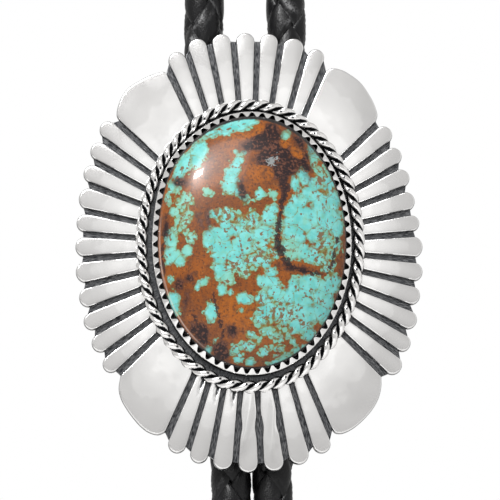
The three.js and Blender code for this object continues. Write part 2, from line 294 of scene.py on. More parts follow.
class Socket:
    """A node's output that takes part in Python expressions."""

    def __init__(self, nodes, socket):
        self.nodes, self.socket = nodes, socket

    def maths(self, operation, *values):
        return self.nodes.maths(operation, *values)

    def __add__(self, other):
        return self.maths("ADD", self, other)

    def __sub__(self, other):
        return self.maths("SUBTRACT", self, other)

    def __rsub__(self, other):
        return self.maths("SUBTRACT", other, self)

    def __mul__(self, other):
        return self.maths("MULTIPLY", self, other)

    def __truediv__(self, other):
        return self.maths("DIVIDE", self, other)

    __radd__, __rmul__ = __add__, __mul__

    def most(self, other):
        return self.maths("MAXIMUM", self, other)

    def step(self, low, high):
        """A smooth step, from 0 at low to 1 at high."""
        settings = {"interpolation_type": "SMOOTHSTEP"}
        values = {"Value": self, "From Min": low, "From Max": high, "To Min": 0, "To Max": 1}
        return self.nodes.node("ShaderNodeMapRange", settings, values)


class Nodes:
    """Makes and links the nodes of one tree."""

    def __init__(self, tree):
        self.tree = tree

    def put(self, socket, value):
        if isinstance(value, Socket):
            self.tree.links.new(value.socket, socket)
        elif isinstance(value, tuple) and len(value) == 3 and socket.type == "RGBA":
            socket.default_value = (*value, 1)
        else:
            socket.default_value = value

    def node(self, kind, settings, values, output=0):
        """Adds a node: its settings first, then its sockets' values or links."""
        made = self.tree.nodes.new(kind)
        for name, setting in settings.items():
            setattr(made, name, setting)
        for name, value in values.items():
            self.put(made.inputs[name], value)
        return Socket(self, made.outputs[output]) if output is not None else None

    def maths(self, operation, *values):
        return self.node("ShaderNodeMath", {"operation": operation}, dict(enumerate(values)))


class Shader(Nodes):
    """A new material: its Principled surface and the patterns that colour it."""

    def __init__(self, name, **surface):
        self.material = bpy.data.materials.new(name)
        self.material.use_nodes = True
        super().__init__(self.material.node_tree)
        self.surface = self.tree.nodes["Principled BSDF"]
        self.set_surface(**surface)

    def set_surface(self, **values):
        for name, value in values.items():
            self.put(self.surface.inputs[name.replace("_", " ").title().replace("Ior", "IOR")], value)

    def where(self):
        return self.node("ShaderNodeTexCoord", {}, {}, "Object")

    def along(self, axis):
        return self.node("ShaderNodeSeparateXYZ", {}, {"Vector": self.where()}, axis)

    def painted(self, name):
        return self.node("ShaderNodeAttribute", {"attribute_name": name}, {}, "Fac")

    def stretched(self, x, y, z):
        return self.node("ShaderNodeMapping", {}, {"Vector": self.where(), "Scale": (x, y, z)})

    def noise(self, size, detail=3, place=None):
        """Noise from 0 to 1, with features about this many metres across."""
        values = {"Vector": place or self.where(), "Scale": 1 / size, "Detail": detail, "Roughness": 0.5}
        return self.node("ShaderNodeTexNoise", {}, values)

    def cells(self, size, feature="F1"):
        values = {"Vector": self.where(), "Scale": 1 / size}
        return self.node("ShaderNodeTexVoronoi", {"feature": feature}, values, "Distance")

    def mix(self, share, first, second):
        values = {0: share, 6: first, 7: second}
        return self.node("ShaderNodeMix", {"data_type": "RGBA"}, values, 2)

    def relief(self, height, depth):
        values = {"Height": height, "Distance": depth, "Strength": 1}
        self.set_surface(normal=self.node("ShaderNodeBump", {}, values))


def belongs(piece, shader, slot, *nodes):
    """Gives a piece its material, hangs it under the root and hides the solids it stands for."""
    piece.data.materials.clear()
    piece.data.materials.append(shader.material)
    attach(piece, "root")
    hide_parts(*nodes)


# Camera

def make_camera():
    half_view = math.atan(PHOTO_SIDE / 2 * PIXEL / CAMERA_DISTANCE)
    back = direction_of(CAMERA_AZIMUTH, CAMERA_ELEVATION)
    turn = back.to_track_quat("Z", "Y")
    right, up = turn @ Vector((1, 0, 0)), turn @ Vector((0, 1, 0))
    off_right = (PHOTO_SIDE / 2 - PHOTO_MIDDLE[0]) * PIXEL
    off_up = (PHOTO_MIDDLE[1] - PHOTO_SIDE / 2) * PIXEL
    aim = on_slide(0, 0, PLATE_THICKNESS + PAD_HEIGHT) + right * off_right + up * off_up
    camera = linked("camera", bpy.data.cameras.new("camera"))
    camera.data.angle = 2 * half_view
    camera.data.clip_start, camera.data.clip_end = 0.01, 50
    camera.location = aim + back * CAMERA_DISTANCE
    camera.rotation_mode = "QUATERNION"
    camera.rotation_quaternion = turn
    bpy.context.scene.camera = camera


make_camera()


# Cords

# The cord's routes from the slide's middle, for the right-hand side: x sideways, y back, z up, and the share
# of the shift sideways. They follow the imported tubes.
JOINT_GAP = 0.15 * MM
HALF_LOOP = (
    (CORD_SPACING / 2, 0, JOINT_GAP, 0),
    (CORD_SPACING / 2, 0, 0.011, 0),
    (0.0066, 0, 0.02, 0.5),
    (0.0066, 0, 0.03, 1),
    (0.0066, 0, 0.042, 1),
    (0.0074, 0.0007, 0.052, 1),
    (0.011, 0.0032, 0.061, 0.7),
    (0.0185, 0.0088, 0.0685, 0.4),
    (0.029, 0.019, 0.075, 0.2),
    (0.0395, 0.034, 0.0815, 0),
    (0.0475, 0.053, 0.0885, 0),
    (0.05, 0.073, 0.095, 0),
    (0.0465, 0.093, 0.1005, 0),
    (0.036, 0.1095, 0.1045, 0),
    (0.0195, 0.12, 0.1072, 0),
)
NAPE = (0, 0.1235, 0.108, 0)
tip_low, tip_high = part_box("right_tip")
TAIL_FOOT_X = (tip_low.x + tip_high.x) / 2
TAIL = (
    (CORD_SPACING / 2, 0, -JOINT_GAP, 0),
    (CORD_SPACING / 2, 0, -0.011, 0),
    (0.0053, 0, -0.021, 0.5),
    (0.0039, 0, -0.029, 1),
    (0.00334, 0, -0.037, 1),
    (0.0034, 0, -0.046, 1),
    (0.0036, 0.0002, -0.064, 0.8),
    (0.0039, 0.0008, -0.088, 0.5),
    (0.0042, 0.0015, -0.114, 0.2),
    (0.0044, 0.002, -0.14, 0),
    (0.0045, 0.0022, -0.166, 0),
    (0.0046, 0.002, -0.19, 0),
    (TAIL_FOOT_X, 0.0018, -0.212, 0),
    (TAIL_FOOT_X, 0.0018, -0.2235, 0),
)
SLIDE_MIDDLE = np.array((0, -NAPE[1], CORD_DIAMETER / 2 - NAPE[2]))


def route(rows, side, shift):
    return [np.array((side * x + share * shift, y, z)) + SLIDE_MIDDLE for x, y, z, share in rows]


def smooth_line(chosen, step):
    """Points a step apart on the smooth line through the chosen points."""
    row = [2 * chosen[0] - chosen[1], *chosen, 2 * chosen[-1] - chosen[-2]]
    gaps = [math.sqrt(np.linalg.norm(b - a)) for a, b in zip(row, row[1:])]
    line = []
    for k in range(1, len(row) - 2):
        a, b, c, d = row[k - 1 : k + 3]
        before, here, after = gaps[k - 1 : k + 2]
        leave = here * ((b - a) / before - (c - a) / (before + here) + (c - b) / here)
        arrive = here * ((c - b) / here - (d - b) / (here + after) + (d - c) / after)
        for t in np.arange(0, 1, 0.02):
            start = (2 * t**3 - 3 * t**2 + 1) * b + (t**3 - 2 * t**2 + t) * leave
            line.append(start + (3 * t**2 - 2 * t**3) * c + (t**3 - t**2) * arrive)
    line = np.array([*line, chosen[-1]])
    run = np.concatenate(([0], np.cumsum(np.linalg.norm(np.diff(line, axis=0), axis=1))))
    stations = np.linspace(0, run[-1], round(run[-1] / step) + 1)
    return np.column_stack([np.interp(stations, run, way) for way in line.T]), run[-1]


def carried_frames(line, first):
    """Two directions across the line at each point, carried along it untwisted from the first one."""
    along = np.gradient(line, axis=0)
    along /= np.linalg.norm(along, axis=1)[:, None]
    normals = []
    normal = np.array(first, float)
    for tangent in along:
        normal = normal - tangent * (normal @ tangent)
        normal /= np.linalg.norm(normal)
        normals.append(normal)
    normals = np.array(normals)
    return normals, np.cross(along, normals)


def weave_height(turn):
    """How far a thong is over (1) or under (-1) the others, with flat tops and quick changes."""
    wave = np.cos(turn)
    return wave / np.sqrt(wave * wave + 0.25) * math.sqrt(1.25)


def plait_run(line, length, normals, others, corners):
    """How many crossings lie behind each point of the cord, and how many turns the plait has made there."""
    run = np.linspace(0, length, len(line))
    phases = []
    for distance, facing in corners:
        station = round(distance / length * (len(line) - 1))
        way = np.array((math.sin(math.radians(facing)), -math.cos(math.radians(facing)), 0))
        turn = math.atan2(way @ others[station], way @ normals[station])
        phases.append(turn / (2 * math.pi) - 1 / THONGS)
    first = corners[0][0]
    if len(corners) == 1:
        return (run - first) / CROSSING_LENGTH, np.full(len(line), phases[0])
    share = (run - first) / (corners[1][0] - first)
    crossings = 2 * round((corners[1][0] - first) / CROSSING_LENGTH / 2)
    repeat = 2 / THONGS
    drift = (phases[1] - phases[0] + repeat / 2) % repeat - repeat / 2
    return share * crossings, phases[0] + share * drift


def braided_thong(name, number, line, sideways, crossings, turned, sheen_and_wear_level):
    """One flat thong along its helix, rising over and dipping under those of the other hand."""
    hand = 1 if number % 2 == 0 else -1
    middle = CORD_DIAMETER / 2 + THONG_SPREAD - THONG_THICKNESS / 2 - THONG_LIFT
    across = np.sin(np.linspace(-math.pi / 2, math.pi / 2, THONG_POINTS))
    crown = THONG_THICKNESS / 2 * np.sqrt(1 - np.abs(across) ** 5)
    aside = number // 2 * 2 / THONGS + across[None, :] * THONG_COVER / THONGS
    turning = aside + turned[:, None] + hand * crossings[:, None] / THONGS
    height = weave_height(math.pi * (across[None, :] * THONG_COVER / 2 + hand * crossings[:, None]))
    outside = middle + hand * THONG_LIFT * height + crown[None, :]
    inside = (middle + hand * THONG_LIFT * height - THONG_THICKNESS / 2)[:, ::-2]
    radius = np.concatenate((outside, inside), axis=1)[:, :, None]
    angle = 2 * math.pi * np.concatenate((turning, turning[:, ::-2]), axis=1)[:, :, None]
    normals, others = (ways[:, None, :] for ways in sideways)
    points = line[:, None, :] + normals * (radius * np.cos(angle)) + others * (radius * np.sin(angle))
    thong = swept(f"{name}_thong_{number}", points)
    # a pale streak painted along one side of each thong's top where it lies over the others: a painted
    # highlight, with some wear at the edges
    streak = np.exp(-(((across + SHEEN_PLACE * hand) / SHEEN_WIDTH) ** 2))
    sheen_and_wear = sheen_and_wear_level * (streak + EDGE_SHEEN_AND_WEAR * np.abs(across) ** 12)[None, :] * smoothstep(-0.2, 0.9, hand * height)
    paint(thong, "sheen_and_wear", np.concatenate((sheen_and_wear, 0 * inside), axis=1).ravel())
    return thong


def braided_cord(name, chosen, corners, sheen_and_wear_level):
    """A round cord of six flat thongs, three each way round, each over one and under one."""
    line, length = smooth_line(chosen, CROSSING_LENGTH / STATIONS_A_CROSSING)
    if len(corners) == 2:
        corners = (corners[0], (length - corners[1][0], corners[1][1]))
    sideways = carried_frames(line, (0, -1, 0))
    crossings, turned = plait_run(line, length, *sideways, corners)
    thongs = [braided_thong(name, k, line, sideways, crossings, turned, sheen_and_wear_level) for k in range(THONGS)]
    cord = join(thongs, name)
    smooth(cord, 60)
    return cord, line, length


def plain_line(line):
    """The route, with a point every few millimetres."""
    return [tuple(point) for point in line[::4]] + [tuple(line[-1])]


LEFT_HALF = route(HALF_LOOP, -1, UPPER_SHIFTS[-1])
RIGHT_HALF = route(HALF_LOOP, 1, UPPER_SHIFTS[1])
LOOP_ROUTE = [*LEFT_HALF, *route((NAPE,), 1, 0), *reversed(RIGHT_HALF)]
LEFT_TAIL = route(TAIL, -1, LOWER_SHIFT)
RIGHT_TAIL = route(TAIL, 1, LOWER_SHIFT)
UPPER_CORNERS = (UPPER_LEFT_CORNER, UPPER_RIGHT_CORNER)
neck_cord, loop_line, loop_length = braided_cord("neck_cord", LOOP_ROUTE, UPPER_CORNERS, NECK_SHEEN_AND_WEAR)
left_cord, left_line, left_length = braided_cord("left_tail_cord", LEFT_TAIL, (LOWER_LEFT_CORNER,), TAIL_SHEEN_AND_WEAR)
right_cord, right_line, right_length = braided_cord(
    "right_tail_cord", RIGHT_TAIL, (LOWER_RIGHT_CORNER,), TAIL_SHEEN_AND_WEAR
)


# Tips

def silver_tip(name, node):
    """A tapered ferrule spun round its axis: a rolled collar, two rings, a cone and a small ball."""
    low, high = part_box(node)
    x, y = (low.x + high.x) / 2, (low.y + high.y) / 2
    mouth = (high.x - low.x) / 2
    bore = mouth - TIP_WALL
    outline = (
        (bore, -TIP_SOCKET),
        (bore, -0.2 * MM),
        (bore + 0.15 * MM, 0),
        (mouth - 0.2 * MM, 0),
        (mouth, -0.3 * MM),
        (mouth, -1.1 * MM),
        (mouth - 0.3 * MM, -1.4 * MM),
        (mouth - 0.05 * MM, -1.8 * MM),
        (mouth - 0.05 * MM, -2.3 * MM),
        (mouth - 0.3 * MM, -2.7 * MM),
        (mouth - 0.2 * MM, -3.4 * MM),
        (mouth * 0.82, -0.36 * TIP_LENGTH),
        (mouth * 0.62, -0.6 * TIP_LENGTH),
        (mouth * 0.45, -0.8 * TIP_LENGTH),
        (1.5 * MM, -TIP_LENGTH + 4.2 * MM),
        (1.75 * MM, -TIP_LENGTH + 3.9 * MM),
        (2.05 * MM, -TIP_LENGTH + 2.7 * MM),
        (2.0 * MM, -TIP_LENGTH + 1.6 * MM),
        (1.3 * MM, -TIP_LENGTH + 0.4 * MM),
        (0, -TIP_LENGTH),
    )
    mesh = bpy.data.meshes.new(name)
    points = [(x + across, y, high.z + up) for across, up in outline]
    mesh.from_pydata([(x, y, high.z - TIP_SOCKET), *points], [(k, k + 1) for k in range(len(points))], [])
    tip = linked(name, mesh)
    with editing(tip):
        bpy.ops.mesh.spin(steps=TIP_STEPS, angle=2 * math.pi, center=(x, y, 0), axis=(0, 0, 1))
    outward(tip)
    smooth(tip, 40)
    return tip


def copied_tip(tip, name, node):
    """The same tip on the other cord's end, with its own mesh."""
    copy = linked(name, tip.data.copy())
    copy.location.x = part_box(node)[0].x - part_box("left_tip")[0].x
    settle(copy)
    return copy


left_tip = silver_tip("left_silver_tip", "left_tip")
right_tip = copied_tip(left_tip, "right_silver_tip", "right_tip")


# The slide's layout

# It is measured in the photograph's plane, in metres from the slide's middle pixel. The slide leans back from
# that plane, so it is a little longer.
TILT = math.radians(-CAMERA_ELEVATION)
TURN = math.radians(-CAMERA_AZIMUTH)
EYE_LEVEL = PLATE_THICKNESS + PAD_HEIGHT  # the height that the photograph's scale is taken at
# Ovals, in pixels: the middle's place to the right and up, the half width and the half length
WIRE_SEEN = (0, 1, 108.8, 140.7)
BEZEL_SEEN = (1.5, 3.5, 99.5, 131.4)
# The bezel is fuller than its oval at the upper left: the clock angle, its spread and the share.
FULLER_CLOCK, FULLER_SPREAD, FULLER_SHARE = 314, 20, 0.03
# How far each flute's tip reaches from the slide's middle, in pixels, between the grooves above
TIPS = {
    "top": (209.2, 215.9, 216, 215.2, 215.2, 214.6, 210.3),
    "right": (183.8, 178.8, 175, 171.8, 171.4, 172.8, 174.5, 177.1, 182.6, 188, 193.9),
    "bottom": (217.9, 222.2, 224.8, 225.3, 224.1, 222, 219),
    "left": (190.8, 187.3, 183.7, 179.2, 176.6, 175, 175.4, 178.3, 182.6, 187.3, 192.5),
}
# The lobes' edges, from the upper right clockwise: clock angle and pixels from the slide's middle
LOBES = (
    ((23.3, 193), (24.6, 198), (27, 200.5), (30, 200.8), (34, 199.4), (38, 194.7), (41, 190.4), (44, 184.4),
     (45.1, 178.5)),
    ((134.8, 184), (137, 191.3), (140, 198.2), (143, 202.5), (147, 206), (151, 208), (154, 207.2),
     (155.6, 204), (156, 200)),
    ((204.5, 204), (206, 209.4), (208.5, 211.5), (211, 210.6), (214, 207.7), (217, 204.2), (220, 199.9),
     (222.5, 193.9), (224.9, 183)),
    ((313.5, 182), (314, 187), (316, 192.5), (319.3, 198), (322.4, 200.4), (325.5, 199.8), (329, 198.9),
     (332.2, 196.9), (333.6, 195.2), (333.8, 192.5)),
)


def seen(x, z, height, level):
    """The slide's point at this height that is seen at x and z, which were read at the height level."""
    above = level - EYE_LEVEL
    x = (x - above * math.sin(TURN)) / math.cos(TURN)
    z = (z - above * math.sin(TILT)) / math.cos(TILT)
    return on_slide(x, z, height)


def towards(clock):
    turn = math.radians(clock)
    return np.array((math.sin(turn), math.cos(turn)))


def oval_line(oval, count):
    """Points and outward directions evenly spaced along a seen oval, clockwise from the top."""
    right, up, half_width, half_length = (pixels * PIXEL for pixels in oval)
    turns = np.linspace(0, 2 * math.pi, 4001)
    line = np.column_stack((half_width * np.sin(turns), half_length * np.cos(turns)))
    run = np.concatenate(([0], np.cumsum(np.linalg.norm(np.diff(line, axis=0), axis=1))))
    turns = np.interp(np.arange(count) / count * run[-1], run, turns)
    line = np.column_stack((half_width * np.sin(turns) + right, half_length * np.cos(turns) + up))
    out = np.column_stack((np.sin(turns) / half_width, np.cos(turns) / half_length))
    return line, out / np.linalg.norm(out, axis=1)[:, None]


def fuller(right, up):
    """How many times further out than its oval the bezel is, in this direction from its middle."""
    clock = np.degrees(np.arctan2(right, up)) % 360
    return 1 + FULLER_SHARE * np.exp(-(((clock - FULLER_CLOCK) / FULLER_SPREAD) ** 2))


def under_wire(clock):
    """How far the twisted wire's middle is from the slide's, in this direction."""
    direction = towards(clock)
    return PIXEL / math.hypot(direction[0] / WIRE_SEEN[2], direction[1] / WIRE_SEEN[3])


def beside_groove(clock, out, aside):
    """A point so far out along a groove and so far to its clockwise side."""
    along = towards(clock)
    return along * out + np.array((along[1], -along[0])) * aside


def round_tip(start, end, reach, notch_depth):
    """Points of a flute's round end, from its first groove to its last."""
    first = beside_groove(start, reach - notch_depth, GROOVE_WIDTH / 2)
    last = beside_groove(end, reach - notch_depth, -GROOVE_WIDTH / 2)
    chord = last - first
    half_chord = np.linalg.norm(chord) / 2
    chord = chord / (2 * half_chord)
    out = np.array((-chord[1], chord[0]))
    foot = (first + last) / 2
    bulge = (towards((start + end) / 2) * reach - foot) @ out
    radius = (half_chord**2 + bulge**2) / (2 * bulge)
    centre = foot + out * (bulge - radius)
    half_turn = math.acos((radius - bulge) / radius)
    turns = np.linspace(-half_turn, half_turn, 25)[:, None]
    return centre + (chord * np.sin(turns) + out * np.cos(turns)) * radius


def lobe_edge(profile):
    """Points of a lobe's edge."""
    return smooth_line([towards(clock) * reach * PIXEL for clock, reach in profile], 0.3 * MM)[0]


def all_pads():
    """Every flute and lobe: the two grooves beside it and the points of its outer end."""
    pads = []
    for side, grooves in GROOVES.items():
        for start, end, reach in zip(grooves, grooves[1:], TIPS[side]):
            edge = round_tip(start, end, reach * PIXEL, NOTCH_DEPTHS[side])
            pads.append((start, end, edge, False))
    rows = list(GROOVES.values())
    for row, following, profile in zip(rows, rows[1:] + rows[:1], LOBES):
        start, end = row[-1], following[0]
        if end < start:
            end += 360
        pads.append((start, end, lobe_edge(profile), True))
    return sorted(pads, key=lambda row: row[0] % 360)


PADS = all_pads()


def point_at(line, share):
    """The point of a line at a share of its run, from -1 to 1, and the line's direction there."""
    place = (share + 1) / 2 * (len(line) - 1)
    before = min(int(place), len(line) - 2)
    step = line[before + 1] - line[before]
    return line[before] + step * (place - before), step / np.linalg.norm(step)


# Silver plate with its flutes and lobes

PAD_EDGE = 0.24 * MM  # radius of a flute's soft edges
PINCHED = (170.5, 177.3)  # the first grooves of the two flutes that were pinched by the hammer
WEDGED = (184, 190.6, 197)  # and of those with a wedge cut by the wire, painted dark as shade in the cut
PAD_FOOT = 0.37  # half the space between two flutes at the wire, as a share of the groove's width
PAD_CROWN = 0.55 * MM  # how far a flute's ends fall away from its highest part
CROWN_PLACE = 0.45  # that part's place along the flute
SIDE_CROWN = 0.03 * MM
WEDGE_DEPTH = 0.3 * MM
# Each pad's faces across and along it, and the depth of its dents
FLUTE_GRID, FLUTE_DENTS = (20, 36), 0.03 * MM
LOBE_GRID, LOBE_DENTS = (44, 44), 0.07 * MM
WAVES_A_METRE, RIPPLES_A_METRE = 150, 420


def narrowed(start, share):
    """How far a pinched flute's sides stand in, as a share of its half width."""
    if start not in PINCHED:
        return 0
    return 0.16 * math.exp(-(((share - 0.52) / 0.1) ** 2)) - 0.1 * math.exp(-(((share - 0.3) / 0.1) ** 2))


def pinch(start, s, share):
    """The soft diagonal ridge and hollow of a pinched flute."""
    if start not in PINCHED:
        return 0
    ridge = s - (share - 0.3) * 1.6 if start == PINCHED[1] else s + 0.6 - (share - 0.3) * 1.5
    fade = math.exp(-(((share - 0.5) / 0.34) ** 4))
    return 0.16 * MM * fade * (math.exp(-((ridge / 0.45) ** 2)) - 0.5)


def wedge(start, s, share):
    """How deep a point lies in the wedge at a flute's inner end, which is cut down and painted dark as shade,
    0 or less outside it.
    """
    if start not in WEDGED:
        return -1
    return 1 - share / 0.26 - abs(s + 0.33) / 0.56


def pad_height(flat, s, share, start, dents):
    """How far a flute stands over the plate at a point, with its crown, dents, pinch and wedge."""
    wave = noise.noise(Vector((*flat * WAVES_A_METRE, start)))
    ripple = noise.noise(Vector((*flat * RIPPLES_A_METRE, start + 7)))
    crown = PAD_CROWN * (share - CROWN_PLACE) ** 2 + SIDE_CROWN * s * s
    height = PAD_HEIGHT - crown + dents * (wave + 0.2 * ripple) + pinch(start, s, share)
    return height - WEDGE_DEPTH * max(0, min(1, wedge(start, s, share) * 3))


def pad(start, end, edge, grid, dents):
    """One flute or lobe: a flat-topped pillow from under the twisted wire out to its end."""
    first = beside_groove(start, under_wire(start), GROOVE_WIDTH * PAD_FOOT)
    last = beside_groove(end, under_wire(end), -GROOVE_WIDTH * PAD_FOOT)
    foot, direction = (first + last) / 2, towards((start + end) / 2)
    end_width = np.linalg.norm(point_at(edge, 1)[0] - point_at(edge, -1)[0])
    wedge_shade = []
    shares = []

    def place(s, t):
        s = math.copysign(1 - (1 - abs(s)) ** 2, s)
        share = 1 - ((1 - t) / 2) ** 2
        outer, edge_way = point_at(edge, s)
        inner = first + (last - first) * (s + 1) / 2
        way = outer - inner
        flat = inner + way * share
        half_width = end_width / 2 * (0.6 + 0.4 * share)
        middle = foot + (direction * np.linalg.norm(outer) - foot) * share
        flat = flat - (flat - middle) * narrowed(start, share)
        squareness = abs(way[0] * edge_way[1] - way[1] * edge_way[0]) / np.linalg.norm(way)
        from_side = (1 - abs(s)) * half_width
        from_end = np.linalg.norm(outer - inner) * (1 - share) * max(squareness, 0.15)
        rim = math.hypot(max(0, 1 - from_side / PAD_EDGE), max(0, 1 - from_end / PAD_EDGE))
        fall = math.sqrt(max(0, 1 - rim * rim))
        height = pad_height(flat, s, share, start, dents) * fall
        # painted shade in the wedge's cut
        wedge_shade.append(max(0, min(1, wedge(start, s, share) * 6)))
        shares.append(share)
        return seen(flat[0], flat[1], PLATE_THICKNESS + height, PLATE_THICKNESS)

    sheet = pressed_sheet("pad", *grid, place)
    paint(sheet, "wedge_shade", wedge_shade)
    paint(sheet, "outer", shares)
    close_down_to(sheet, PLATE_BACK - PLATE_THICKNESS + PAD_SINK)
    return sheet


def flutes_and_lobes():
    pads = []
    for start, end, edge, lobe in PADS:
        grid, dents = (LOBE_GRID, LOBE_DENTS) if lobe else (FLUTE_GRID, FLUTE_DENTS)
        pads.append(pad(start, end, edge, grid, dents))
    piece = join(pads, "flutes")
    outward(piece)
    smooth(piece, 50)
    return piece


def silver_plate():
    """The sheet under the flutes, cut to their outline."""
    outline = np.concatenate([edge for _, _, edge, _ in PADS])
    start_fresh()
    bpy.ops.mesh.primitive_circle_add(vertices=len(outline), radius=1, fill_type="NGON")
    plate = added("silver_plate")
    for vertex, point in zip(plate.data.vertices, outline):
        vertex.co = seen(point[0], point[1], 0, PLATE_THICKNESS)
    with editing(plate):
        bpy.ops.mesh.extrude_region_move(TRANSFORM_OT_translate={"value": (0, -PLATE_THICKNESS, 0)})
    outward(plate)
    bevelled(plate, PLATE_EDGE, 60)
    smooth(plate, 14)
    return plate


plate = silver_plate()
flutes = flutes_and_lobes()


# Twisted wire

def strand_polish_and_shade(from_line, height, turn, around):
    """How bright a strand is: black in the lay, which is blackening with painted shade on its inner side,
    painted shade low down by the bezel, and a painted shade spot at each turn.
    """
    lay = LAY_REACH - 0.14 * smoothstep(0, 0.5, from_line) - 0.2 * smoothstep(0.3, 0.7, -from_line)
    polish_and_painted_light = smoothstep(lay - 0.12, lay + 0.06, np.hypot(from_line, height))
    polish_and_painted_light = polish_and_painted_light * smoothstep(-0.5, 0.1, height)
    phase = (np.degrees(turn) - SPOT_PHASE + 180) % 360 - 180
    facing = (np.degrees(around) + 180) % 360 - 180
    off_spot = np.hypot(phase[:, None] / SPOT_REACH[0], facing[None, :] / SPOT_REACH[1])
    return polish_and_painted_light * (1 - np.exp(-(off_spot**3)))


def twisted_strand(number, line, out):
    """One of the wire's two round strands, painted with its polish, blackening and painted shade."""
    radius = WIRE_DIAMETER / 2
    turn = -2 * math.pi * np.arange(len(line)) * WIRE_TURNS / len(line) + number * math.pi
    around = np.arange(STRAND_SIDES) / STRAND_SIDES * 2 * math.pi
    aside, above = (radius - STRAND_RADIUS) * np.cos(turn), (radius - STRAND_RADIUS) * np.sin(turn)
    middles = np.array([
        seen(*(p + o * a), WIRE_MIDDLE + h, WIRE_MIDDLE) for p, o, a, h in zip(line, out, aside, above)
    ])
    along = np.roll(middles, -1, axis=0) - np.roll(middles, 1, axis=0)
    along /= np.linalg.norm(along, axis=1)[:, None]
    front = np.array((0, -1, 0)) - along * -along[:, 1:2]
    front /= np.linalg.norm(front, axis=1)[:, None]
    beside = np.cross(along, front)
    ring = front[:, None, :] * np.cos(around)[:, None] + beside[:, None, :] * np.sin(around)[:, None]
    strand = swept("strand", middles[:, None, :] + ring * STRAND_RADIUS, closed_line=True)
    outwards = np.column_stack((out[:, 0], 0 * turn, out[:, 1]))[:, None, :]
    from_line = (aside[:, None] + STRAND_RADIUS * (ring * outwards).sum(2)) / radius
    height = (above[:, None] - STRAND_RADIUS * ring[:, :, 1]) / radius
    paint(strand, "polish_and_painted_light", strand_polish_and_shade(from_line, height, turn, around).ravel())
    return strand


def twisted_wire():
    """Two round strands twisted into one wire and bent round the bezel."""
    line, out = oval_line(WIRE_SEEN, WIRE_TURNS * STEPS_A_TURN)
    wire = join([twisted_strand(number, line, out) for number in range(2)], "twisted_wire")
    smooth(wire)
    return wire


wire = twisted_wire()


# Bezel

def tooth_shape(share):
    """A tooth's size along its width, from 0 in the notches beside it to 1 at its round tip."""
    return 1 - smoothstep(0.1, 0.86, abs(2 * share - 1))


def bezel_ring():
    """The wall round the stone, its top filed into teeth that lean in over the stone."""
    line, out = oval_line(BEZEL_SEEN, TOOTH_COUNT * STEPS_A_TOOTH)
    middle = np.array(BEZEL_SEEN[:2]) * PIXEL
    line = middle + (line - middle) * fuller(*(line - middle).T)[:, None]
    shoulder = 0.13 * MM
    sections = []
    for station, (p, o) in enumerate(zip(line, out)):
        tooth = tooth_shape(station % STEPS_A_TOOTH / STEPS_A_TOOTH)
        reach = NOTCH_REACH + (TOOTH_REACH - NOTCH_REACH) * tooth
        tip = BEZEL_VALLEY + 0.1 * MM + TOOTH_RISE * tooth
        section = (
            (0, PLATE_THICKNESS - PAD_SINK),
            (0, BEZEL_VALLEY - 0.1 * MM),
            (0.05 * MM, BEZEL_VALLEY + 0.06 * MM),
            (shoulder, BEZEL_VALLEY + 0.12 * MM),
            ((shoulder + reach) / 2, BEZEL_VALLEY + 0.12 * MM + TOOTH_RISE * tooth * 0.62),
            (reach, tip),
            (reach, tip - 0.2 * MM),
            (BEZEL_WALL, BEZEL_VALLEY - 0.6 * MM),
            (BEZEL_WALL, PLATE_THICKNESS - PAD_SINK),
        )
        sections.append([seen(*(p - o * inwards), height, BEZEL_VALLEY) for inwards, height in section])
    ring = swept("bezel", sections, closed_line=True)
    smooth(ring, 38)
    return ring


bezel = bezel_ring()


# Stone

